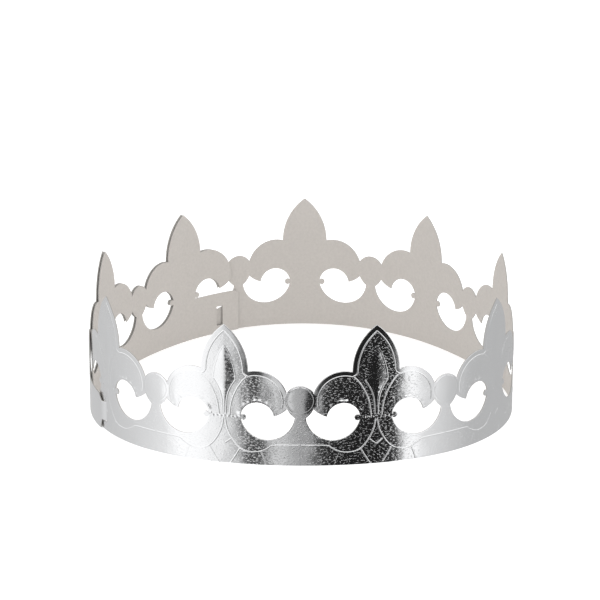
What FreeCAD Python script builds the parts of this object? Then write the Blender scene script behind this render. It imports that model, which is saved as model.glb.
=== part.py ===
"""Foil-faced card crown: one die-cut strip, bent round on itself and closed by a tongue in a slot.

The strip is drawn flat, as the cutting die draws it: x along the strip and z up from its lower edge.
It is then wrapped onto the arcs that the card follows in plan, one from each pearl's middle to the
next lily's middle. Millimetres, +Z up.
"""
import FreeCAD, Part
import math
import os
from FreeCAD import Base

# Card and its plan curve
card = 0.45                # thickness of the card
layer_gap = 0.45           # air between the two layers where the strip overlaps itself
motif_pitch = 64.0         # one lily and one pearl along the strip
motifs_per_turn = 9
motif_count = 11           # two more than a turn holds, so that the ends overlap
three_lobe = 0.425         # how far the ring is a rounded triangle: 0 is a circle

# Top edge of a lily: a spear between two round petals
crown_height = 61.4        # lower edge of the strip to the spear's tip
spear_half_width = 10.2    # where the spear meets its petals
petal_radius = 13.3
petal_level = 28.4         # height of the petal's centre

# Pearl between two lilies
pearl_radius = 6.6
pearl_rise = 0.5           # its centre above the petals' centres
pearl_set = 1.5            # how deep it sits in the petals beside it
neck_half_width = 2.3      # foot of the pearl, between two openings
neck_drop = 1.0            # the neck's narrowest place, below the pearl's round

# Crescent opening under each petal
band_height = 11.2         # solid band below the openings
petal_depth = 14.0         # solid petal above the opening
stem_half_width = 7.0      # solid stem between the two openings of a lily
curl_out = 7.3             # tip of the petal's curl, out from the petal's centre
curl_drop = 6.6            # and below it
curl_lean = (0.4, -0.3)    # how far the curl's lower side bows out and down at its middle
neck_flare = (0.45, 0.6)   # where the pearl's side lies between petal and neck, across and down
bar_drop = 7.4             # cross-bar of the stem, below the petals' centres
nub_length = 2.3           # round nub at each end of the bar, out into the opening
nub_half_height = 0.9      # where it leaves the stem

# Plain tab at the strip's inner end, and the slots that take the tongue
tab_length = 30.7          # past the middle of the first lily
tab_drop = 0.25            # its top edge, below the nub beside it
tab_corner = 2.5
slot_width = 3.2
slot_height = 9.3
slot_level = 3.7           # lower end of each slot
spare_slot_back = 20.7     # slot in the tab, back from the middle of the first lily
slot_lead = 3.0            # slot in use, before the middle of its lily

# Tongue at the strip's outer end
tongue_drop = 0.8          # how much lower it is near the slot than at the last pearl
slot_clearance = 0.4       # tongue to slot, above and below
shoulder_margin = 0.4      # the tongue is narrow this far beyond the slot's sides
top_slope = 2.6            # length of the slope down to it
foot_slope = 1.0           # length of the slope up to it
barb_length = 9.0          # past the slot's middle, inside the crown
barb_level = 1.6
barb_corner = 1.5
crossing_length = 6.0      # stretch in which the tongue bends through the slot

seam_tolerance = 0.001     # faces this close are sewn together

half_pitch = motif_pitch / 2
halves_per_turn = 2 * motifs_per_turn
layer_pitch = card + layer_gap
first_lily = (0.5 - motifs_per_turn // 2) * motif_pitch
last_lily = first_lily + (motif_count - 1) * motif_pitch
last_pearl = last_lily + half_pitch
strip_start = first_lily - tab_length
slot_at = first_lily + (motif_count - motifs_per_turn) * motif_pitch - slot_lead
shoulder = slot_width / 2 + shoulder_margin
petal_out = motif_pitch / 2 - pearl_radius + pearl_set - petal_radius
pearl_level = petal_level + pearl_rise
nub_level = petal_level - bar_drop
neck_level = pearl_level - pearl_radius - neck_drop
opening_top = petal_level + petal_radius - petal_depth
tongue_height = (neck_level + band_height) / 2
nub_bulge = max(nub_half_height, (nub_half_height ** 2 + nub_length ** 2) / (2 * nub_length))
tab_height = nub_level - nub_bulge - tab_drop

UP = FreeCAD.Vector(0, 0, 1)


class Stretch:
    """One round stretch of the card, from x0 to x1 along the strip, on an upright cylinder.

    bow is the signed radius of the card's middle: positive where the cylinder's axis is inside the ring.
    """

    def __init__(self, x0, x1, bow, start, heading):
        self.x0, self.x1, self.bow = x0, x1, bow
        self.heading = heading
        self.axis = start - bow * outward(heading)
        self.end_heading = heading + (x1 - x0) / bow
        self.end = self.axis + bow * outward(self.end_heading)
        self.middle = (x0 + x1) / 2

    def surface(self, offset):
        """Cylinder at an offset outwards from the card's middle, with u = pi half way along."""
        facing = (self.heading + self.end_heading) / 2 - math.pi / 2
        turn = facing - math.pi if self.bow > 0 else facing
        cylinder = Part.Cylinder()
        cylinder.Radius = abs(self.bow + offset)
        place = FreeCAD.Placement(self.axis, FreeCAD.Rotation(UP, math.degrees(turn)))
        cylinder.transform(place.toMatrix())
        span = abs((self.x1 - self.x0) / self.bow)
        return Part.RectangularTrimmedSurface(cylinder, math.pi - span, math.pi + span,
                                              -band_height, crown_height + band_height)

    def lay(self, points):
        """Flat curve of a segment in this cylinder's own angle and height."""
        def scaled(x, z):
            return Base.Vector2d(math.pi + (x - self.middle) / self.bow, z)
        if len(points) == 2:
            return Part.Geom2d.Line2dSegment(*[scaled(*point) for point in points])
        curve = Part.Geom2d.ArcOfCircle2d(*[Base.Vector2d(*point) for point in points]).toBSpline()
        for i, pole in enumerate(curve.getPoles(), 1):
            curve.setPole(i, scaled(pole.x, pole.y))
        return curve


def outward(heading):
    return FreeCAD.Vector(math.sin(heading), -math.cos(heading), 0)


def turning(k):
    """Angle that the ring turns through between x = k and k + 1 half pitches."""
    step = 2 * math.pi / halves_per_turn
    return step - three_lobe / 3 * (math.sin(3 * (k + 1) * step) - math.sin(3 * k * step))


def bow_at(k):
    """Radius of the card's middle there: the strip winds outwards by one layer in a turn."""
    middle = (first_lily + last_lily) / 2 / half_pitch
    return half_pitch / turning(k) + layer_pitch * (k + 0.5 - middle) / halves_per_turn


def plan():
    """The strip's stretches in order, and where the tongue crosses the slot."""
    first, last = round(first_lily / half_pitch), round(last_pearl / half_pitch)
    spans = [(strip_start, first_lily, bow_at(first - 1))]
    spans += [(k * half_pitch, (k + 1) * half_pitch, bow_at(k)) for k in range(first, last)]
    headings = [0.0]
    for x0, x1, bow in spans:
        headings.append(headings[-1] + (x1 - x0) / bow)
    starts = [x0 for x0, x1, bow in spans]
    k = max(i for i, x0 in enumerate(starts) if x0 <= slot_at)
    at_slot = headings[k] + (slot_at - starts[k]) / spans[k][2]
    bow = bow_at(last)
    crossing = last_pearl + (at_slot + 2 * math.pi - headings[-1]) * bow
    bend = crossing_length / 2
    sharper = 2 * layer_pitch / bend ** 2
    spans += [(last_pearl, crossing - bend, bow),
              (crossing - bend, crossing, 1 / (1 / bow + sharper)),
              (crossing, crossing + bend, 1 / (1 / bow - sharper)),
              (crossing + bend, crossing + barb_length, bow)]
    point = FreeCAD.Vector(0, 0, 0)
    heading = -sum((x1 - x0) / bow for x0, x1, bow in spans if x1 <= 0)
    stretches = []
    for x0, x1, bow in spans:
        stretches.append(Stretch(x0, x1, bow, point, heading))
        point, heading = stretches[-1].end, stretches[-1].end_heading
    return stretches, crossing


def arc(centre, start, end, way):
    """Three points of a round stretch: way is 1 for anticlockwise and -1 for clockwise."""
    a = math.atan2(start[1] - centre[1], start[0] - centre[0])
    b = math.atan2(end[1] - centre[1], end[0] - centre[0])
    half = (way * (b - a)) % (2 * math.pi) / 2
    radius = math.dist(centre, start)
    middle = a + way * half
    return [start, (centre[0] + radius * math.cos(middle), centre[1] + radius * math.sin(middle)), end]


def mirrored(segments, x):
    """The segments in a mirror at x, in the opposite order."""
    return [[(2 * x - px, pz) for px, pz in reversed(points)] for points in reversed(segments)]


def joint_of_petal_and_pearl():
    """Where the petal's circle meets the pearl's, out from the lily's middle: above and below."""
    across = motif_pitch / 2 - petal_out
    rise = pearl_level - petal_level
    apart = math.hypot(across, rise)
    along = (apart ** 2 + petal_radius ** 2 - pearl_radius ** 2) / (2 * apart)
    aside = math.sqrt(petal_radius ** 2 - along ** 2)
    ux, uz = across / apart, rise / apart
    foot = (petal_out + along * ux, petal_level + along * uz)
    return (foot[0] - aside * uz, foot[1] + aside * ux), (foot[0] + aside * uz, foot[1] - aside * ux)


upper_joint, lower_joint = joint_of_petal_and_pearl()
petal_centre = (petal_out, petal_level)
petal_root = (spear_half_width,
              petal_level + math.sqrt(petal_radius ** 2 - (petal_out - spear_half_width) ** 2))
curl_tip = (petal_out + curl_out, petal_level - curl_drop)
neck_top = (motif_pitch / 2 - neck_half_width, neck_level)
nub_top = (stem_half_width, nub_level + nub_half_height)
nub_foot = (stem_half_width, nub_level - nub_half_height)


def shifted(segments, x):
    return [[(px + x, pz) for px, pz in points] for points in segments]


def spear_side():
    """Right side of the spear, root to tip: an arc that starts upright."""
    rise = crown_height - petal_root[1]
    radius = (rise ** 2 + spear_half_width ** 2) / (2 * spear_half_width)
    return arc((spear_half_width - radius, petal_root[1]), petal_root, (0, crown_height), 1)


def petal_rim(start):
    """Right petal from a point on its rim up and over to the spear."""
    return arc(petal_centre, start, petal_root, 1)


def curl_underside():
    """Right petal's lower side, from its curl's tip out to the foot of its rim."""
    middle = [(a + b) / 2 + lean for a, b, lean in zip(curl_tip, lower_joint, curl_lean)]
    return [curl_tip, tuple(middle), lower_joint]


def opening_roof():
    """Right opening's roof, from the nub over to the curl's tip."""
    return [nub_top, ((stem_half_width + curl_tip[0]) / 2, opening_top), curl_tip]


def nub():
    return [nub_foot, (stem_half_width + nub_length, nub_level), nub_top]


def opening_floor():
    return [neck_top, ((neck_top[0] + stem_half_width) / 2, band_height), nub_foot]


def pearl_side():
    """The pearl's lower left side, from the petal down to the neck."""
    middle = [a + share * (b - a) for a, b, share in zip(lower_joint, neck_top, neck_flare)]
    return [lower_joint, tuple(middle), neck_top]


def opening():
    """Right opening of a lily, clockwise from the nub's top."""
    return [opening_roof(), curl_underside(), pearl_side(), opening_floor(), nub()]


def pearl_half(x):
    """Top of the pearl at the middle x, its right half, from its petal up to the middle."""
    joint = (x + half_pitch - upper_joint[0], upper_joint[1])
    return [arc((x, pearl_level), joint, (x, pearl_level + pearl_radius), 1)]


def upright(x, z0, z1):
    return [(x, z0), (x, z1)]


def half_lily(x):
    """Loop of the half bay from the pearl at x to the lily after it, anticlockwise."""
    lily = x + half_pitch
    top = mirrored(shifted([petal_rim(upper_joint), spear_side()], lily), lily)
    return ([[(x, 0), (lily, 0)], upright(lily, 0, crown_height)] + top + pearl_half(x)
            + [upright(x, pearl_level + pearl_radius, 0)])


def chain(*points):
    """Straight segments from point to point."""
    return [[p, q] for p, q in zip(points, points[1:])]


def slot(x):
    """Upright slot with its middle at x, clockwise."""
    left, right = x - slot_width / 2, x + slot_width / 2
    top = slot_level + slot_height
    return chain((left, slot_level), (left, top), (right, top), (right, slot_level), (left, slot_level))


def tab_loop():
    """Plain tab and the free left half of the first lily."""
    right = [nub(), opening_roof(), curl_underside(), petal_rim(lower_joint), spear_side()]
    left = mirrored(shifted(right, first_lily), first_lily)
    corner = (strip_start + tab_corner, tab_height - tab_corner)
    top_end, side_end = (corner[0], tab_height), (strip_start, corner[1])
    return (chain((strip_start, 0), (first_lily, 0), (first_lily, crown_height)) + left
            + chain(left[-1][-1], (first_lily - stem_half_width, tab_height), top_end)
            + [arc(corner, top_end, side_end, 1)] + chain(side_end, (strip_start, 0)))


def tongue_edges(crossing):
    """Lower and upper edge of the tongue, left to right, from the last pearl to the barb's end."""
    narrow_foot = slot_level + slot_clearance
    narrow_top = slot_level + slot_height - slot_clearance
    left, right, end = crossing - shoulder, crossing + shoulder, crossing + barb_length
    lower = [(last_pearl, 0), (left - foot_slope, 0), (left, narrow_foot), (right, narrow_foot),
             (right + foot_slope, barb_level), (end - barb_corner, barb_level),
             (end, barb_level + barb_corner)]
    upper = [tongue_foot()[0], (left - top_slope, tongue_height - tongue_drop), (left, narrow_top),
             (end - barb_corner, narrow_top), (end, narrow_top - barb_corner)]
    return lower, upper


def tongue_foot():
    """Where the tongue's top edge leaves the floor of the last opening, and that floor's centre."""
    floor = mirrored([opening_floor()], 0)[0]
    circle = Part.Circle(*[FreeCAD.Vector(x + last_lily + motif_pitch, z, 0) for x, z in floor])
    reach = math.sqrt(circle.Radius ** 2 - (tongue_height - circle.Center.y) ** 2)
    return (circle.Center.x - reach, tongue_height), (circle.Center.x, circle.Center.y)


def between(points, x0, x1):
    """The part of a left-to-right line of points from x0 to x1."""
    def at(x):
        for (ax, az), (bx, bz) in zip(points, points[1:]):
            if ax <= x <= bx:
                return (x, az + (bz - az) * (x - ax) / (bx - ax))
    return [at(x0)] + [point for point in points if x0 < point[0] < x1] + [at(x1)]


def last_pearl_loop(crossing, x1):
    """Right half of the last pearl, its neck, and the tongue as far as x1."""
    lower, upper = tongue_edges(crossing)
    foot, centre = tongue_foot()
    neck = (last_pearl + neck_half_width, neck_level)
    side = mirrored(shifted([pearl_side()], last_lily), last_pearl)
    top = (last_pearl, pearl_level + pearl_radius)
    over = list(reversed(between(upper, foot[0], x1)))
    under = between(lower, last_pearl, x1)
    return (chain(*under, *over) + [arc(centre, foot, neck, -1)] + side
            + [arc((last_pearl, pearl_level), side[-1][-1], top, 1), upright(last_pearl, top[1], 0)])


def tongue_loop(crossing, x0, x1):
    lower, upper = tongue_edges(crossing)
    under, over = between(lower, x0, x1), list(reversed(between(upper, x0, x1)))
    return chain(*under, *over, under[0])


def loops_of(stretch, crossing):
    """Outer loop and holes of one stretch of the flat strip."""
    x0, x1 = stretch.x0, stretch.x1
    if x0 == strip_start:
        return [tab_loop(), slot(first_lily - spare_slot_back)]
    if x0 == last_pearl:
        return [last_pearl_loop(crossing, x1)]
    if x0 > last_pearl:
        return [tongue_loop(crossing, x0, x1)]
    if round(x0 / half_pitch) % 2 == 0:
        loops = [half_lily(x0), mirrored(shifted(opening(), x1), x1)]
    else:
        loops = [mirrored(half_lily(x1), x1), shifted(opening(), x0)]
    return loops + [slot(slot_at)] if x0 < slot_at < x1 else loops


def turned(segments):
    """The same loop the other way round."""
    return [list(reversed(points)) for points in reversed(segments)]


def cut_edge(outer, inner, points):
    """Edge of the card between its two faces: a flat one where the die cuts level or upright."""
    (x0, z0), (x1, z1) = points[0], points[-1]
    if len(points) == 2 and (x0 == x1 or z0 == z1):
        start, end = [Part.makeLine(outer.Vertexes[i].Point, inner.Vertexes[i].Point) for i in (0, -1)]
        return Part.Face(Part.Wire([outer, end, inner, start]))
    return Part.makeRuledSurface(outer, inner)


def skin_of(stretch, loops, seams):
    """Outer face, inner face and cut edges of one stretch of card. Seams to its neighbours stay open."""
    if stretch.bow < 0:
        loops = [turned(loop) for loop in loops]
    laid = []
    faces = []
    for offset in (card / 2, -card / 2):
        surface = stretch.surface(offset)
        edges = [[stretch.lay(points).toShape(surface) for points in loop] for loop in loops]
        face = Part.Face(surface, [Part.Wire(loop) for loop in edges])
        faces.append(face.removeShape([face.Wires[0]]))
        laid.append(edges)
    for k, loop in enumerate(loops):
        for i, points in enumerate(loop):
            if not (points[0][0] == points[-1][0] and points[0][0] in seams):
                faces.append(cut_edge(laid[0][k][i], laid[1][k][i], points))
    return faces


def crown():
    """The whole strip as one solid, standing on its lower edge with the front pearl at the front."""
    stretches, crossing = plan()
    seams = {stretch.x0 for stretch in stretches[1:]}
    faces = []
    for stretch in stretches:
        faces += skin_of(stretch, loops_of(stretch, crossing), seams)
    skin = Part.makeCompound(faces)
    skin.sewShape(seam_tolerance)
    solid = Part.Solid(skin.Shells[0])
    if solid.Volume < 0:
        solid.reverse()
    box = solid.optimalBoundingBox(False)
    solid.translate(FreeCAD.Vector(-box.Center.x, -box.Center.y, 0))
    return solid


if __name__ == "__main__":
    os.makedirs("parts", exist_ok=True)
    band = crown()
    band.exportStep("parts/crown_band.step")
    box = band.optimalBoundingBox(False)
    print("crown_band valid", band.isValid(), "volume %.1f" % band.Volume, "faces", len(band.Faces),
          "size %.2f %.2f %.2f" % (box.XLength, box.YLength, box.ZLength))
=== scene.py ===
"""Foil card crown: one die-cut, embossed strip of silver card, bent round and closed by its own tongue."""
import math

import bpy
import numpy as np
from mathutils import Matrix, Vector
from mathutils.geometry import delaunay_2d_cdt


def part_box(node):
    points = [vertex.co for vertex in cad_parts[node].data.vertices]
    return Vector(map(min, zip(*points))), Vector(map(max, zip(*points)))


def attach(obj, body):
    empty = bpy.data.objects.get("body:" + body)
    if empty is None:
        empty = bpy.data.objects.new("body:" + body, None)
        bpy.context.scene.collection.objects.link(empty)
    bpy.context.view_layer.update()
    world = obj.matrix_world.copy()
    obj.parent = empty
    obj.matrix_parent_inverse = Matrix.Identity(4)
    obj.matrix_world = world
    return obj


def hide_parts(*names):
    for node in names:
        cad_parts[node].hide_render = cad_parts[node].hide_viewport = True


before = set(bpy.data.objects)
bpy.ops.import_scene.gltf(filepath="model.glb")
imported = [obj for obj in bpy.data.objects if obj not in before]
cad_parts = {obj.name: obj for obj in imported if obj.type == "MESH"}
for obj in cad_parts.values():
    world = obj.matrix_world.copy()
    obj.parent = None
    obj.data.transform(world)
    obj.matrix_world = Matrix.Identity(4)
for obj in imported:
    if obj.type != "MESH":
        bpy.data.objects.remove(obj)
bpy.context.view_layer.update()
band_low, band_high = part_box("crown_band")

# The strip as the die cuts it
# One strip of foil-faced card, drawn flat in millimetres: x runs along it and z up from its lower edge.
# A lily stands at x = 0 of its own length of strip, with half a pearl at each end of that length.
MM = 0.001
card = 0.45
layer_gap = 0.45
pitch = 64.0
lilies_per_turn = 9
lily_count = 11
crown_height = band_high.z / MM
spear_half_width = 10.2
petal_radius, petal_level = 13.3, 28.4
pearl_radius, pearl_rise, pearl_set = 6.6, 0.5, 1.5
neck_half_width, neck_drop = 2.3, 1.0
band_height = 11.2
petal_depth = 14.0
stem_half_width = 7.0
curl_out, curl_drop = 7.3, 6.6
curl_lean = (0.4, -0.3)
neck_flare = (0.45, 0.6)
bar_drop = 7.4
nub_length, nub_half_height = 2.3, 0.9
tab_length, tab_drop, tab_corner = 30.7, 0.25, 2.5
slot_width, slot_height, slot_level = 3.2, 9.3, 3.7
spare_slot_back, slot_lead = 20.7, 3.0
tongue_drop, slot_clearance, shoulder_margin = 0.8, 0.4, 0.4
top_slope, foot_slope = 2.6, 1.0
barb_length, barb_level, barb_corner = 9.0, 1.6, 1.5
crossing_length = 6.0

half_pitch = pitch / 2
petal_out = half_pitch - pearl_radius + pearl_set - petal_radius
pearl_level = petal_level + pearl_rise
pearl_top = pearl_level + pearl_radius
nub_level = petal_level - bar_drop
neck_level = pearl_level - pearl_radius - neck_drop
opening_top = petal_level + petal_radius - petal_depth
tongue_height = (neck_level + band_height) / 2
nub_bulge = max(nub_half_height, (nub_half_height ** 2 + nub_length ** 2) / (2 * nub_length))
tab_height = nub_level - nub_bulge - tab_drop


def circle_through(a, b, c):
    """Centre and radius of the circle through three points."""
    (ax, az), (bx, bz), (cx, cz) = a, b, c
    d = 2 * (ax * (bz - cz) + bx * (cz - az) + cx * (az - bz))
    x = ((ax**2 + az**2) * (bz - cz) + (bx**2 + bz**2) * (cz - az) + (cx**2 + cz**2) * (az - bz)) / d
    z = ((ax**2 + az**2) * (cx - bx) + (bx**2 + bz**2) * (ax - cx) + (cx**2 + cz**2) * (bx - ax)) / d
    return (x, z), math.dist(a, (x, z))


def swept(centre, radius, a, b, step):
    """Points of a round line from angle a to angle b."""
    count = max(2, math.ceil(abs(b - a) * radius / step))
    return [(centre[0] + radius * math.cos(a + (b - a) * i / count),
             centre[1] + radius * math.sin(a + (b - a) * i / count)) for i in range(count + 1)]


def angle_at(centre, point):
    return math.atan2(point[1] - centre[1], point[0] - centre[0])


def bowed(a, b, c, step):
    """Round line from a through b to c."""
    centre, radius = circle_through(a, b, c)
    start, middle, end = (angle_at(centre, p) for p in (a, b, c))
    turn = math.tau
    if (middle - start) % turn < (end - start) % turn:
        return swept(centre, radius, start, start + (end - start) % turn, step)
    return swept(centre, radius, start, start - (start - end) % turn, step)


def around(centre, a, b, step):
    """Round line about a centre, anticlockwise from a to b."""
    start = angle_at(centre, a)
    return swept(centre, math.dist(centre, a), start, start + (angle_at(centre, b) - start) % math.tau, step)


def ruled(step, *corners):
    """Straight lines from corner to corner."""
    points = [corners[0]]
    for (ax, az), (bx, bz) in zip(corners, corners[1:]):
        count = max(1, math.ceil(math.dist((ax, az), (bx, bz)) / step))
        points += [(ax + (bx - ax) * i / count, az + (bz - az) * i / count) for i in range(1, count + 1)]
    return points


def joined(*lines):
    """Lines end to end, as one line."""
    points = list(lines[0])
    for line in lines[1:]:
        points += line[1:] if math.dist(points[-1], line[0]) < 1e-6 else line
    return points


def mirrored(line):
    return [(-x, z) for x, z in reversed(line)]


def moved(line, x0):
    return [(x + x0, z) for x, z in line]


def petal_meets_pearl():
    """Where the petal's round meets the pearl's: above and below."""
    across, rise = half_pitch - petal_out, pearl_rise
    apart = math.hypot(across, rise)
    along = (apart**2 + petal_radius**2 - pearl_radius**2) / (2 * apart)
    aside = math.sqrt(petal_radius**2 - along**2)
    ux, uz = across / apart, rise / apart
    x, z = petal_out + along * ux, petal_level + along * uz
    return (x - aside * uz, z + aside * ux), (x + aside * uz, z - aside * ux)


cut_step = 0.55
petal_centre = (petal_out, petal_level)
pearl_centre = (half_pitch, pearl_level)
upper_joint, lower_joint = petal_meets_pearl()
root_rise = math.sqrt(petal_radius**2 - (petal_out - spear_half_width)**2)
petal_root = (spear_half_width, petal_level + root_rise)
spear_radius = ((crown_height - petal_root[1])**2 + spear_half_width**2) / (2 * spear_half_width)
spear_centre = (spear_half_width - spear_radius, petal_root[1])
spear_tip = (0, crown_height)
curl_tip = (petal_out + curl_out, petal_level - curl_drop)
neck_top = (half_pitch - neck_half_width, neck_level)
nub_top = (stem_half_width, nub_level + nub_half_height)
nub_foot = (stem_half_width, nub_level - nub_half_height)

spear_side = around(spear_centre, petal_root, spear_tip, cut_step)
petal_rim = around(petal_centre, upper_joint, petal_root, cut_step)
pearl_side = around(pearl_centre, (half_pitch, pearl_top), upper_joint, cut_step)
nub = bowed(nub_foot, (stem_half_width + nub_length, nub_level), nub_top, cut_step / 2)
roof = bowed(nub_top, ((stem_half_width + curl_tip[0]) / 2, opening_top), curl_tip, cut_step)
curl_middle = [(a + b) / 2 + lean for a, b, lean in zip(curl_tip, lower_joint, curl_lean)]
curl = bowed(curl_tip, curl_middle, lower_joint, cut_step)
pearl_flank = bowed(lower_joint, [a + k * (b - a) for a, b, k in zip(lower_joint, neck_top, neck_flare)],
                    neck_top, cut_step)
floor = bowed(neck_top, ((neck_top[0] + stem_half_width) / 2, band_height), nub_foot, cut_step)
opening = joined(roof, curl, pearl_flank, floor, nub)
lily_top = joined(pearl_side, petal_rim, spear_side)
seam = ruled(cut_step * 2, (half_pitch, 0), (half_pitch, pearl_top))


def slot_at(x):
    left, right, top = x - slot_width / 2, x + slot_width / 2, slot_level + slot_height
    return ruled(cut_step, (left, slot_level), (left, top), (right, top), (right, slot_level),
                 (left, slot_level))


def lily_outline():
    edge = ruled(cut_step * 2, (-half_pitch, 0), (half_pitch, 0))
    return joined(edge, seam, lily_top, mirrored(lily_top), list(reversed(moved(seam, -pitch))))


def tab_outline():
    """The strip's inner end: half a lily with a free petal, and the plain tab behind it."""
    free_rim = around(petal_centre, lower_joint, petal_root, cut_step)
    left = mirrored(joined(nub, roof, curl, free_rim, spear_side))
    inner = (tab_corner - tab_length, tab_height - tab_corner)
    corner = swept(inner, tab_corner, math.pi / 2, math.pi, cut_step / 2)
    return joined(ruled(cut_step * 2, (-tab_length, 0), (half_pitch, 0)), seam, lily_top, left,
                  ruled(cut_step, left[-1], (-stem_half_width, tab_height), corner[0]), corner,
                  ruled(cut_step, corner[-1], (-tab_length, 0)))


def tongue_outline(crossing):
    """The strip's outer end, from the middle of the last pearl: neck, tongue and barb."""
    last_floor = [(half_pitch - x, z) for x, z in floor]
    floor_centre, floor_radius = circle_through(last_floor[0], last_floor[len(floor) // 2], last_floor[-1])
    low, high = slot_level + slot_clearance, slot_level + slot_height - slot_clearance
    shoulder = slot_width / 2 + shoulder_margin
    left, right, end = crossing - shoulder, crossing + shoulder, crossing + barb_length
    foot_reach = math.sqrt(floor_radius**2 - (tongue_height - floor_centre[1])**2)
    foot = (floor_centre[0] - foot_reach, tongue_height)
    neck = (neck_half_width, neck_level)
    under = ruled(cut_step * 2, (0, 0), (left - foot_slope, 0), (left, low), (right, low),
                  (right + foot_slope, barb_level), (end - barb_corner, barb_level),
                  (end, barb_level + barb_corner), (end, high - barb_corner), (end - barb_corner, high),
                  (left, high), (left - top_slope, tongue_height - tongue_drop), foot)
    start, stop = angle_at(floor_centre, foot), angle_at(floor_centre, neck)
    rise = swept(floor_centre, floor_radius, start, start - (start - stop) % math.tau, cut_step)
    flank = moved(mirrored(pearl_flank), half_pitch)
    top = around((0, pearl_level), flank[-1], (0, pearl_top), cut_step)
    return joined(under, rise, flank, top, list(reversed(moved(seam, -half_pitch))))


# The embossing
# A heated die presses fine raised lines, a ridged leaf and a row of beads into the foil side of each lily.
# The lines are drawn for the right half of a lily: the left half is its mirror image.
line_height, faint_height, line_half_width = 0.09, 0.035, 0.36
contour_inset = 2.2
rim_inset, rim_height = 1.1, 0.06
leaf_rise, full_leaf = 0.3, 2.5
petal_swell, swell_width = 0.06, 3.0
swell_from, swell_fade, petal_foot = 3.5, 3.0, 8.0
pearl_swell, pearl_border, pearl_inset = 0.2, 0.4, 0.9
bead_radius, bead_height, bead_spacing, beads_each_side = 0.6, 0.09, 1.7, 3
edge_roll, roll_width = 0.06, 0.4
plain_border = 2.0
border_grain, pearl_grain, tongue_grain = 0.12, 0.4, 0.3
tongue_fade, fade_length = 4.0, 2.0
emboss_step = 0.5


def smooth_through(knots, step):
    """A smooth line through given points."""
    p = np.array([knots[0], *knots, knots[-1]], float)
    points = []
    for a, b, c, d in zip(p, p[1:], p[2:], p[3:]):
        count = max(1, math.ceil(np.linalg.norm(c - b) / step))
        t = np.arange(count)[:, None] / count
        points.append(0.5 * (2 * b + (c - a) * t + (2 * a - 5 * b + 4 * c - d) * t**2
                             + (3 * b - a - 3 * c + d) * t**3))
    return [tuple(q) for q in np.concatenate(points)] + [tuple(p[-1])]


contour_radius = spear_radius - contour_inset
contour_apex = (0, spear_centre[1] + math.sqrt(contour_radius**2 - spear_centre[0]**2))
contour_foot = (spear_centre[0] + contour_radius, petal_root[1] - 0.4)
spear_contour = around(spear_centre, contour_foot, contour_apex, emboss_step)
shoulder_line = smooth_through([(8.0, 41.3), (8.6, 39.9), (9.9, 39.2)], emboss_step)
petal_contour = swept(petal_centre, petal_radius - contour_inset, math.radians(-12), math.radians(108),
                      emboss_step)
stem_line = smooth_through([(9.9, 39.1), (8.1, 37.4), (6.1, 34.6), (4.4, 31.3), (3.1, 27.6), (2.5, 23.9),
                            (2.3, 21.9)], emboss_step)
leaf_edge = smooth_through([(0, 52.2), (1.9, 49.3), (3.1, 46.0), (4.1, 42.6), (4.6, 39.6), (4.7, 37.1)],
                           emboss_step)
leaf_foot = smooth_through([(4.7, 37.1), (2.8, 34.0), (1.5, 30.8), (0.9, 27.3), (0.7, 22.2)], emboss_step)
scallop = smooth_through([(0.4, 19.7), (1.3, 15.3), (3.3, 11.2), (6.0, 7.7), (8.6, 6.1), (11.3, 5.6),
                          (14.0, 5.7), (16.5, 6.5), (18.8, 7.8), (21.2, 8.9), (half_pitch, 9.1)], emboss_step)
chevron = ruled(emboss_step, (0, 8.7), (2.6, 10.8))
base_line = ruled(emboss_step, (6.4, 6.6), (4.6, 3.4), (2.7, 0.4))
outer_base_line = smooth_through([(15.6, 5.6), (16.7, 2.9), (17.5, 0.4)], emboss_step)
pearl_contour = swept(pearl_centre, pearl_radius - pearl_inset, math.pi / 2, math.pi * 1.5, emboss_step)
clear_lines = [spear_contour, shoulder_line, petal_contour, stem_line, leaf_foot, scallop, chevron, base_line]
faint_lines = [leaf_edge, outer_base_line, pearl_contour]
raised_lines = clear_lines + faint_lines
leaf_shape = np.array(joined(leaf_edge, leaf_foot))


def parts_of(lines):
    """Every straight part of some lines."""
    return [part for line in lines for part in zip(line, line[1:])]


def distance(points, parts):
    """Distance from each point to the nearest of some straight parts."""
    p = np.asarray(points, float)
    best = np.full(len(p), np.inf)
    for s, e in np.array(parts, float):
        along = e - s
        size = along @ along
        if size < 1e-12:
            continue
        t = np.clip(((p - s) @ along) / size, 0, 1)
        best = np.minimum(best, np.hypot(*(p - s - t[:, None] * along).T))
    return best


def bump_of(away, half_width):
    """A round-topped ridge, 1 on its line and 0 at its half width."""
    return np.where(away < half_width, np.cos(np.pi / 2 * np.minimum(away / half_width, 1))**2, 0)


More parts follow.
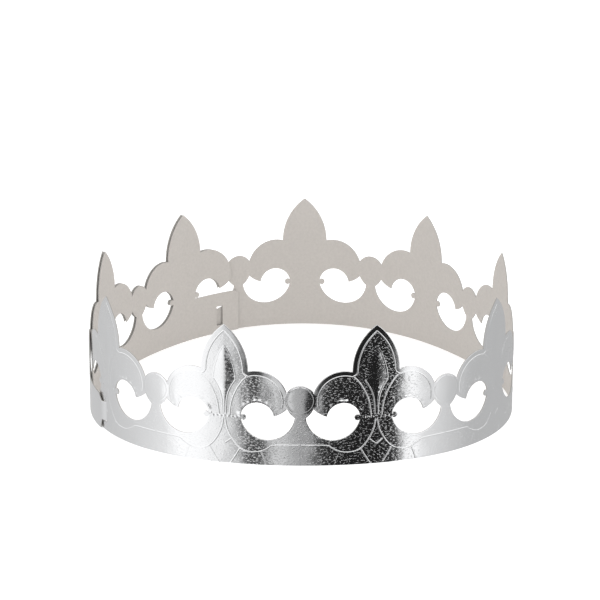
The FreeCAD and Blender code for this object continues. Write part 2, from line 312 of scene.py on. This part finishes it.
def embossed(points, edge_parts):
    """Height of the foil above the plain card, and how grained it is, at points of one lily's length."""
    p = np.array(points, float)
    p[:, 0] = half_pitch - np.abs(half_pitch - np.abs(p[:, 0]))
    to_edge = distance(points, edge_parts)
    height = line_height * bump_of(distance(p, parts_of(clear_lines)), line_half_width)
    height += faint_height * bump_of(distance(p, parts_of(faint_lines)), line_half_width)
    half_leaf = np.interp(p[:, 1], leaf_shape[::-1, 1], leaf_shape[::-1, 0], left=0, right=0)
    roof_height = np.clip(1 - p[:, 0] / np.maximum(half_leaf, 0.01), 0, 1)
    height += leaf_rise * roof_height * np.clip(half_leaf / full_leaf, 0, 1)
    from_pearl = np.hypot(*(p - pearl_centre).T)
    on_pearl = from_pearl < pearl_radius - pearl_border
    height += pearl_swell * np.clip(1 - (from_pearl / (pearl_radius - pearl_border))**2, 0, 1)
    from_petal = np.hypot(*(p - petal_centre).T)
    on_petal = (from_petal < petal_radius) & ~on_pearl & (p[:, 1] > opening_top - petal_foot)
    inside = np.clip((petal_radius - contour_inset - from_petal) / swell_width, 0, 1)
    beside_stem = np.clip((p[:, 0] - swell_from) / swell_fade, 0, 1)
    height += petal_swell * on_petal * np.sin(np.pi / 2 * inside) * beside_stem
    by_opening = distance(p, parts_of([roof, nub]))
    height += rim_height * bump_of(np.abs(by_opening - rim_inset), line_half_width) * (p[:, 1] > nub_level)
    for i in range(beads_each_side + 1):
        from_bead = np.hypot(p[:, 0] - i * bead_spacing, p[:, 1] - nub_level)
        height += bead_height * np.sqrt(np.clip(1 - (from_bead / bead_radius)**2, 0, 1))
    roll = np.clip(1 - to_edge / roll_width, 0, 1)
    height -= edge_roll * roll**2
    to_top = distance(p, parts_of([lily_top]))
    grain = np.clip((to_top - plain_border) * 2, border_grain, 1)
    grain = np.where(on_pearl, pearl_grain, grain) * (1 - 0.5 * np.clip(roof_height * 3, 0, 1))
    return height, grain


def embossed_end(points, edge_parts):
    """The same at points that run on from the middle of the last pearl: the tongue itself is unpressed."""
    from_pearl = np.asarray(points, float) * (-1, 1) + (half_pitch, 0)
    height, grain = embossed(from_pearl, [[(half_pitch - x, z) for x, z in part] for part in edge_parts])
    roll = edge_roll * np.clip(1 - distance(points, edge_parts) / roll_width, 0, 1)**2
    pressed_here = np.clip((from_pearl[:, 0] - half_pitch + pearl_radius + tongue_fade) / fade_length, 0, 1)
    grained_here = tongue_grain + (1 - tongue_grain) * pressed_here
    return (height + roll) * pressed_here - roll, np.minimum(grain, grained_here)


# The pressed card
# Each length of strip is a thin slab: foil face, bare board face and the cut edge between them. Its mesh is
# fine along the embossed lines and coarse where the card is plain, and it stays open where two lengths meet.
foil_step, board_step = 1.15, 4.0
row_share, closest_share = 0.55, 0.47
crest_foot, crest_top = 22, 52
bar_reach, bar_step = 6, 0.35
slope_reach = 0.05
touching = 1e-6


def within(points, loops):
    """True for the points that lie inside the outline and outside its holes."""
    x, z = np.asarray(points, float).T
    inside = np.zeros(len(x), bool)
    for loop in loops:
        q = np.asarray(loop, float)
        for (ax, az), (bx, bz) in zip(q, np.roll(q, -1, 0)):
            if az != bz:
                inside ^= ((az > z) != (bz > z)) & (x < (bx - ax) * (z - az) / (bz - az) + ax)
    return inside


def thinned(points, spacing):
    """Points with close neighbours left out, first come first kept."""
    kept, cells = [], {}
    for x, z in points:
        i, j = int(x // spacing), int(z // spacing)
        near = [q for di in (-1, 0, 1) for dj in (-1, 0, 1) for q in cells.get((i + di, j + dj), ())]
        if all((x - qx)**2 + (z - qz)**2 > spacing**2 for qx, qz in near):
            kept.append((x, z))
            cells.setdefault((i, j), []).append((x, z))
    return kept


def offsets(line, aside):
    """A line's points moved to its left by a distance."""
    p = np.asarray(line, float)
    d = np.gradient(p, axis=0)
    d /= np.maximum(np.linalg.norm(d, axis=1), 1e-9)[:, None]
    return p + aside * np.c_[-d[:, 1], d[:, 0]]


def filled(loops, inner, grid_step):
    """Triangles of one face: the loops' own points, rows beside them, the inner points and a plain grid."""
    edge = [p for loop in loops for p in loop]
    around_them = parts_of([loop + loop[:1] for loop in loops])
    points = []
    if len(inner):
        rows = np.concatenate([offsets(loop + loop[:1], roll_width)[:-1] for loop in loops])
        inner = np.concatenate([rows, inner])
        clear = distance(inner, around_them) > roll_width * 0.8
        inner = [tuple(p) for p in inner[clear & within(inner, loops)]]
        points = thinned(inner, line_half_width * closest_share)
    low, high = np.min(edge, 0), np.max(edge, 0)
    rows = np.arange(low[1] - grid_step, high[1] + grid_step, grid_step * 0.87)
    grid = np.array([(x + grid_step / 2 * (k % 2), z) for k, z in enumerate(rows)
                     for x in np.arange(low[0] - grid_step, high[0] + grid_step, grid_step)])
    clear = distance(grid, around_them) > grid_step * 0.45
    grid = grid[clear & within(grid, loops)]
    if len(points):
        taken = np.array(points)
        near = np.array([np.min(np.sum((taken - p)**2, axis=1)) for p in grid])
        grid = grid[near > (grid_step * 0.55)**2]
    points = edge + list(points) + [tuple(p) for p in grid]
    segments, start = [], 0
    for loop in loops:
        segments += [(start + i, start + (i + 1) % len(loop)) for i in range(len(loop))]
        start += len(loop)
    found = delaunay_2d_cdt([Vector(p) for p in points], segments, [], 0, 1e-7)
    places, faces = np.array([tuple(v) for v in found[0]]), np.array(found[2])
    return places, faces[within(places[faces].mean(1), loops)]


def pressed(name, outline, holes, height_of, seams, pressed_lines):
    """Flat mesh of one length of strip, in metres, with the foil towards -Y."""
    loops = [loop[:-1] if math.dist(loop[0], loop[-1]) < touching else loop for loop in (outline, *holes)]
    cut_parts = [(a, b) for a, b in parts_of([loop + loop[:1] for loop in loops])
                 if not any(abs(a[0] - x) < touching and abs(b[0] - x) < touching for x in seams)]
    inner = np.zeros((0, 2))
    if pressed_lines:
        inner = np.concatenate([offsets(line, k * line_half_width * row_share)
                                for line in pressed_lines for k in (0, -1, 1, -2, 2)])
        crest = np.array([(0, z) for z in np.arange(crest_foot, crest_top, emboss_step)])
        bar = np.array([(x, nub_level + k * bar_step) for x in np.arange(-bar_reach, bar_reach, bar_step)
                        for k in (-2, -1, 0, 1, 2)])
        inner = np.concatenate([crest, bar, inner])
    foil, foil_faces = filled(loops, inner, foil_step)
    board, board_faces = filled(loops, [], board_step)
    height, grain = height_of(foil, cut_parts)
    probe = foil.copy()
    edge = np.concatenate([offsets(loop + loop[:1], roll_width / 4)[:-1] for loop in loops])
    probe[:len(edge)] = edge
    slopes = []
    for shift in np.array([(slope_reach, 0), (0, slope_reach)]):
        ahead, behind = height_of(probe + shift, cut_parts)[0], height_of(probe - shift, cut_parts)[0]
        slopes.append((ahead - behind) / (2 * slope_reach))
    verts = np.concatenate([np.c_[foil[:, 0], -card / 2 - height, foil[:, 1]],
                            np.c_[board[:, 0], np.full(len(board), card / 2), board[:, 1]]])
    count = len(foil)
    faces = [tuple(f) for f in foil_faces] + [tuple(f[::-1] + count) for f in board_faces]
    sides = [0] * len(foil_faces) + [1] * len(board_faces)
    start = 0
    for loop in loops:
        for i in range(len(loop)):
            a, b = start + i, start + (i + 1) % len(loop)
            if not any(abs(foil[a, 0] - x) < 1e-4 and abs(foil[b, 0] - x) < 1e-4 for x in seams):
                faces.append((b, a, a + count, b + count))
                sides.append(2)
        start += len(loop)
    mesh = bpy.data.meshes.new(name)
    mesh.from_pydata((verts * MM).tolist(), [], faces)
    mesh.attributes.new("side", "INT", "FACE").data.foreach_set("value", sides)
    graining = np.concatenate([grain, np.zeros(len(board))]).astype(np.float32)
    mesh.attributes.new("grain", "FLOAT", "POINT").data.foreach_set("value", graining)
    slope = np.zeros((len(verts), 2), np.float32)
    slope[:count] = np.transpose(slopes)
    mesh.attributes.new("slope", "FLOAT2", "POINT").data.foreach_set("vector", slope.ravel())
    return mesh


# Where the lengths stand along the strip
# x is 0 at the pearl in the middle of the front. The last pearl is followed by the tongue.
first_lily = (0.5 - lilies_per_turn // 2) * pitch
last_lily = first_lily + (lily_count - 1) * pitch
last_pearl = last_lily + half_pitch
strip_start = first_lily - tab_length
slotted_lily = first_lily + (lily_count - lilies_per_turn) * pitch
slot_x = slotted_lily - slot_lead

# The plan that the strip is bent to
# A rounded triangle: the card turns fastest at three corners. It winds outwards by one layer in a turn, so
# that its ends lie one over the other, and the tongue bends in through the slot.
three_lobe = 0.425
turn_step = math.tau / (2 * lilies_per_turn)
layer_pitch = card + layer_gap
plan_step = 1.5


def bow_at(k):
    """Radius of the card's middle between k and k + 1 half pitches along the strip."""
    turning = turn_step - three_lobe / 3 * (math.sin(3 * (k + 1) * turn_step) - math.sin(3 * k * turn_step))
    middle = (first_lily + last_lily) / 2 / half_pitch
    return half_pitch / turning + layer_pitch * (k + 0.5 - middle) / (2 * lilies_per_turn)


first_half, last_half = round(first_lily / half_pitch), round(last_pearl / half_pitch)
stretches = [(strip_start, first_lily, bow_at(first_half - 1))]
stretches += [(k * half_pitch, (k + 1) * half_pitch, bow_at(k)) for k in range(first_half, last_half)]
past_slot = sum((x1 - max(x0, slot_x)) / bow for x0, x1, bow in stretches if x1 > slot_x)
last_bow = bow_at(last_half)
crossing = last_pearl + (math.tau - past_slot) * last_bow
bend = crossing_length / 2
sharper = 2 * layer_pitch / bend**2
stretches += [(last_pearl, crossing - bend, last_bow),
              (crossing - bend, crossing, 1 / (1 / last_bow + sharper)),
              (crossing, crossing + bend, 1 / (1 / last_bow - sharper)),
              (crossing + bend, crossing + barb_length, last_bow)]
heading = -sum((x1 - x0) / bow for x0, x1, bow in stretches if x1 <= 0)
here = np.zeros(2)
plan_points = [here]
for x0, x1, bow in stretches:
    out = np.array([math.sin(heading), -math.cos(heading)])
    axis = here - bow * out
    count = math.ceil((x1 - x0) / plan_step)
    for i in range(1, count + 1):
        turned = heading + (x1 - x0) / bow * i / count
        plan_points.append(axis + bow * np.array([math.sin(turned), -math.cos(turned)]))
    heading, here = turned, plan_points[-1]
plan_points = np.array(plan_points)
headings = np.unwrap(np.arctan2(*np.gradient(plan_points, axis=0).T[::-1]))
walked = np.concatenate([[0], np.cumsum(np.linalg.norm(np.diff(plan_points, axis=0), axis=1))])
outer_side = plan_points + card / 2 * np.c_[np.sin(headings), -np.cos(headings)]
plan_points -= (outer_side.min(0) + outer_side.max(0)) / 2
plan_points += np.array([(band_low.x + band_high.x) / 2, (band_low.y + band_high.y) / 2]) / MM
plan_curve = bpy.data.curves.new("plan", "CURVE")
plan_curve.dimensions = "3D"
spline = plan_curve.splines.new("POLY")
spline.points.add(len(plan_points) - 1)
level = np.zeros(len(plan_points))
spline.points.foreach_set("co", np.c_[plan_points * MM, level, level + 1].ravel())
plan = bpy.data.objects.new("plan", plan_curve)

# Four lengths of flat strip
# Nine lilies are alike. One more has the slot in use, one ends in the plain tab, and half a pearl leads
# into the tongue.
both_sides = raised_lines + [mirrored(line) for line in raised_lines]
holes = [opening, mirrored(opening)]
pieces = {
    "plain lily": pressed("plain lily", lily_outline(), holes, embossed,
                          (-half_pitch, half_pitch), both_sides),
    "slotted lily": pressed("slotted lily", lily_outline(), holes + [slot_at(-slot_lead)], embossed,
                            (-half_pitch, half_pitch), both_sides),
    "tab end": pressed("tab end", tab_outline(), [opening, slot_at(-spare_slot_back)], embossed,
                       (half_pitch,), both_sides),
    "tongue end": pressed("tongue end", tongue_outline(crossing - last_pearl), [], embossed_end, (0,),
                          [[(half_pitch - x, z) for x, z in pearl_contour]]),
}
flat = {name: bpy.data.objects.new(name, mesh) for name, mesh in pieces.items()}


# Shader and geometry wiring
class Socket:
    """A node output that takes plain arithmetic, in one tree."""

    def __init__(self, tree, socket):
        self.tree, self.socket = tree, socket

    def node(self, kind, *inputs, out=0, **settings):
        """Any node, with this wire's tree: inputs are wires or values in socket order, None to leave one."""
        made = self.tree.nodes.new(kind)
        for key, value in settings.items():
            setattr(made, key, value)
        for target, value in zip(made.inputs, inputs):
            if isinstance(value, Socket):
                self.tree.links.new(value.socket, target)
            elif value is not None:
                target.default_value = value
        return Socket(self.tree, made.outputs[out])

    def maths(self, operation, *inputs):
        return self.node("ShaderNodeMath", *inputs, operation=operation)

    def __add__(self, other):
        return self.maths("ADD", self, other)

    def __sub__(self, other):
        return self.maths("SUBTRACT", self, other)

    def __mul__(self, other):
        return self.maths("MULTIPLY", self, other)

    def __rsub__(self, other):
        return self.maths("SUBTRACT", other, self)

    __radd__, __rmul__ = __add__, __mul__

    def ramp(self, *stops):
        """Grey values along this wire, from (place, value) stops between 0 and 1."""
        made = self.node("ShaderNodeValToRGB", self)
        colours = made.socket.node.color_ramp
        while len(colours.elements) < len(stops):
            colours.elements.new(0.5)
        for element, (place, value) in zip(colours.elements, stops):
            element.position = place
            element.color = (value, value, value, 1)
        return made


def material(name):
    """A new material's Principled node and a wire to start its maths from."""
    made = bpy.data.materials.new(name)
    made.use_nodes = True
    tree = made.node_tree
    return made, tree.nodes["Principled BSDF"], Socket(tree, None)


# Finishes
# The foil is bright silver laminate, finely wrinkled along the strip by the heated die. The board behind it
# is warm grey with faint fibres, and its cut edge is darker.
foil, surface, wire = material("silver foil")
surface.inputs["Metallic"].default_value = 1.0
surface.inputs["Base Color"].default_value = (0.9, 0.905, 0.915, 1)
strip_place = wire.node("ShaderNodeUVMap", uv_map="strip")
grain = wire.node("ShaderNodeAttribute", attribute_name="grain", out=2)
stretched = wire.node("ShaderNodeVectorMath", strip_place, (0.5, 1.0, 1.0), operation="MULTIPLY")
wrinkle = wire.node("ShaderNodeTexNoise", stretched, None, 1700.0, 2.0, 0.6, noise_dimensions="2D")
drift = wire.node("ShaderNodeTexNoise", strip_place, None, 60.0, 2.0, 0.5, noise_dimensions="2D")
dents = wrinkle.node("ShaderNodeMapRange", wrinkle, 0.56, 0.74, 0.0, 1.0, interpolation_type="SMOOTHSTEP")
dent_depth, wrinkle_depth, drift_depth = 0.022, 0.012, 0.2
heights = dents * grain * dent_depth + wrinkle * grain * wrinkle_depth + drift * drift_depth
bump = wire.node("ShaderNodeBump", 1.0, MM, None, heights)
foil.node_tree.links.new(bump.socket, surface.inputs["Normal"])
foil.node_tree.links.new((0.11 + drift * 0.05).socket, surface.inputs["Roughness"])

board, surface, wire = material("grey board")
board_place = wire.node("ShaderNodeTexCoord", out=3)
fibres = wire.node("ShaderNodeTexNoise", board_place, None, 900.0, 4.0, 0.6, noise_dimensions="3D")
tone = fibres.ramp((0.3, 0.48), (0.7, 0.53))
tinted = wire.node("ShaderNodeMix", 1.0, data_type="RGBA", blend_type="MULTIPLY")
tree = board.node_tree
tree.links.new(tone.socket, tinted.socket.node.inputs[6])
tinted.socket.node.inputs[7].default_value = (1.0, 0.945, 0.89, 1)
tree.links.new(tinted.socket.node.outputs[2], surface.inputs["Base Color"])
surface.inputs["Roughness"].default_value = 0.85

cut, surface, wire = material("cut edge")
surface.inputs["Base Color"].default_value = (0.33, 0.32, 0.3, 1)
surface.inputs["Roughness"].default_value = 0.8

# The strip laid end to end and bent round
# Geometry nodes set the plain lilies along the strip, join on the special lengths, keep each corner's
# place on the strip as its texture place, and carry the whole onto the plan curve.
tree = bpy.data.node_groups.new("bend the strip", "GeometryNodeTree")
tree.interface.new_socket("Geometry", in_out="OUTPUT", socket_type="NodeSocketGeometry")
for label, kind in (("Lilies", "NodeSocketInt"), ("Pitch", "NodeSocketFloat"),
                    ("First lily", "NodeSocketFloat"), ("Strip start", "NodeSocketFloat")):
    tree.interface.new_socket(label, in_out="INPUT", socket_type=kind)
group_in = tree.nodes.new("NodeGroupInput")
lilies, spacing, first_at, start_at = [Socket(tree, group_in.outputs[i]) for i in range(4)]


def along(distance_along):
    return lilies.node("ShaderNodeCombineXYZ", distance_along)


def flat_piece(name):
    return lilies.node("GeometryNodeObjectInfo", flat[name], out=4)


def set_off(name, x):
    return lilies.node("GeometryNodeTransform", flat_piece(name), along(x))


row = lilies.node("GeometryNodeMeshLine", lilies, None, along(first_at), along(spacing), mode="OFFSET")
number = lilies.node("GeometryNodeInputIndex")
not_first, not_slotted = [
    lilies.node("FunctionNodeCompare", None, None, number, taken, data_type="INT", operation="NOT_EQUAL")
    for taken in (0, lily_count - lilies_per_turn)]
alike = lilies.node("FunctionNodeBooleanMath", not_first, not_slotted, operation="AND")
copies = lilies.node("GeometryNodeInstanceOnPoints", row, alike, flat_piece("plain lily"))
copies = lilies.node("GeometryNodeRealizeInstances", copies)
join = lilies.node("GeometryNodeJoinGeometry")
for part in (copies, set_off("slotted lily", slotted_lily * MM), set_off("tab end", first_at),
             set_off("tongue end", last_pearl * MM)):
    tree.links.new(part.socket, join.socket.node.inputs[0])
seam_tolerance = 0.00001
strip = lilies.node("GeometryNodeMergeByDistance", join, None, seam_tolerance)
position = lilies.node("GeometryNodeInputPosition")
x_of, y_of, z_of = [lilies.node("ShaderNodeSeparateXYZ", position, out=i) for i in range(3)]
place = lilies.node("ShaderNodeCombineXYZ", x_of, z_of)
stored = lilies.node("GeometryNodeStoreNamedAttribute", strip, None, "strip", place, data_type="FLOAT2",
                     domain="CORNER")
line = lilies.node("GeometryNodeObjectInfo", plan, out=4)
sample = lilies.node("GeometryNodeSampleCurve", line, None, None, x_of - start_at, mode="LENGTH", out=1)
tangent = Socket(tree, sample.socket.node.outputs[2])
forward = [lilies.node("ShaderNodeSeparateXYZ", tangent, out=i) for i in range(2)]
base = [lilies.node("ShaderNodeSeparateXYZ", sample, out=i) for i in range(2)]
bent = lilies.node("ShaderNodeCombineXYZ", base[0] - forward[1] * y_of, base[1] + forward[0] * y_of, z_of)
shaped = lilies.node("GeometryNodeSetPosition", stored, None, bent)
side = lilies.node("GeometryNodeInputNamedAttribute", "side", data_type="INT")
for index, finish in enumerate((foil, board, cut)):
    here = lilies.node("FunctionNodeCompare", None, None, side, index, data_type="INT", operation="EQUAL")
    shaped = lilies.node("GeometryNodeSetMaterial", shaped, here, finish)
group_out = tree.nodes.new("NodeGroupOutput")
tree.links.new(shaped.socket, group_out.inputs[0])

maker = bpy.data.objects.new("maker", bpy.data.meshes.new("maker"))
helpers = [maker, plan, *flat.values()]
for helper in helpers:
    bpy.context.scene.collection.objects.link(helper)
bending = maker.modifiers.new("bend", "NODES")
bending.node_group = tree
values = {"Lilies": lily_count, "Pitch": pitch * MM, "First lily": first_lily * MM,
          "Strip start": strip_start * MM}
for item in tree.interface.items_tree:
    if item.in_out == "INPUT":
        bending[item.identifier] = values[item.name]
made = bpy.data.meshes.new_from_object(maker.evaluated_get(bpy.context.evaluated_depsgraph_get()))
made.name = "embossed_band"
for helper in helpers:
    bpy.data.objects.remove(helper)

# The foil shades by the true slope of its embossing, the board and the cut edge by their own flat sides.
sides = np.zeros(len(made.polygons), np.int32)
made.attributes["side"].data.foreach_get("value", sides)
corner_counts = np.zeros(len(made.polygons), np.int32)
made.polygons.foreach_get("loop_total", corner_counts)
face_normals = np.zeros(len(made.polygons) * 3, np.float32)
made.polygons.foreach_get("normal", face_normals)
corner_points = np.zeros(len(made.loops), np.int32)
made.loops.foreach_get("vertex_index", corner_points)
slope = np.zeros(len(made.vertices) * 2, np.float32)
made.attributes["slope"].data.foreach_get("vector", slope)
strip_places = np.zeros(len(made.loops) * 2, np.float32)
made.attributes["strip"].data.foreach_get("vector", strip_places)
turned = np.interp(strip_places[::2] / MM - strip_start, walked, headings)
outward = np.c_[np.sin(turned), -np.cos(turned), np.zeros(len(turned))]
forward = np.c_[np.cos(turned), np.sin(turned), np.zeros(len(turned))]
tilt = slope.reshape(-1, 2)[corner_points]
foil_normals = outward - tilt[:, :1] * forward - tilt[:, 1:] * (0, 0, 1)
foil_normals /= np.linalg.norm(foil_normals, axis=1)[:, None]
corner_sides = np.repeat(sides, corner_counts)[:, None]
cut_normals = np.repeat(face_normals.reshape(-1, 3), corner_counts, axis=0)
normals = np.select([corner_sides == 0, corner_sides == 1], [foil_normals, -outward], cut_normals)
made.shade_smooth()
made.normals_split_custom_set(normals.tolist())

crown_band = bpy.data.objects.new("embossed_band", made)
bpy.context.scene.collection.objects.link(crown_band)
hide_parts("crown_band")
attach(crown_band, "root")

# Table, light and camera
# A white table and a pale room. The foil mirrors the room low down, where the near side is dark: each tone
# is given with its angle round from straight ahead of the crown, in degrees.
table_mesh = bpy.data.meshes.new("table top")
reach = 3.0
table_mesh.from_pydata([(-reach, -reach, 0), (reach, -reach, 0), (reach, reach, 0), (-reach, reach, 0)], [],
                       [(0, 1, 2, 3)])
table_top = bpy.data.objects.new("table_top", table_mesh)
bpy.context.scene.collection.objects.link(table_top)
table_top.visible_glossy = False
white, surface, wire = material("white table")
surface.inputs["Base Color"].default_value = (0.95, 0.95, 0.95, 1)
surface.inputs["Roughness"].default_value = 1.0
surface.inputs["Emission Color"].default_value = (1, 1, 1, 1)
surface.inputs["Emission Strength"].default_value = 0.3
surface.inputs["Specular IOR Level"].default_value = 0.0
table_mesh.materials.append(white)

world = bpy.data.worlds.new("pale room")
bpy.context.scene.world = world
world.use_nodes = True
tree = world.node_tree
sky = tree.nodes["Background"]
wire = Socket(tree, None)
towards = wire.node("ShaderNodeTexCoord", out=0)
east, north, up = [wire.node("ShaderNodeSeparateXYZ", towards, out=i) for i in range(3)]
round_about = wire.maths("ARCTAN2", east, 0.0 - north) * (1 / math.tau) + 0.5
tones = [(-180, 0.6), (-120, 0.6), (-90, 0.68), (-64, 0.82), (-56, 1.15), (-42, 1.1), (-29, 0.88),
         (-25.5, 0.6), (-22, 0.5), (-20.5, 0.02), (-13, 0.02), (-12, 0.74), (-7, 0.74), (-5.5, 0.41),
         (3.5, 0.41), (5, 0.012), (40, 0.012), (42, 1.0), (48, 1.15), (53, 0.8), (72, 0.62), (92, 0.5),
         (180, 0.5)]
low_room = round_about.ramp(*[(angle / 360 + 0.5, tone) for angle, tone in tones])
room_edge, ceiling = -0.1, 1.15
below = wire.maths("LESS_THAN", up, room_edge)
strength = below * low_room + (1.0 - below) * ceiling
tree.links.new(strength.socket, sky.inputs["Color"])

elevation, azimuth = math.radians(20.19), math.radians(0.64)
away = 1.5
eye = Vector((away * math.cos(elevation) * math.sin(azimuth), -away * math.cos(elevation) * math.cos(azimuth),
              away * math.sin(elevation)))
aim = Vector((-0.0009, 0.0139, 0.0377))
camera_data = bpy.data.cameras.new("camera")
camera_data.lens = 202.3
camera_data.sensor_width = 36.0
camera = bpy.data.objects.new("camera", camera_data)
camera.location = eye
camera.rotation_euler = (aim - eye).to_track_quat("-Z", "Y").to_euler()
bpy.context.scene.collection.objects.link(camera)
bpy.context.scene.camera = camera
bpy.context.scene.view_settings.view_transform = "Standard"
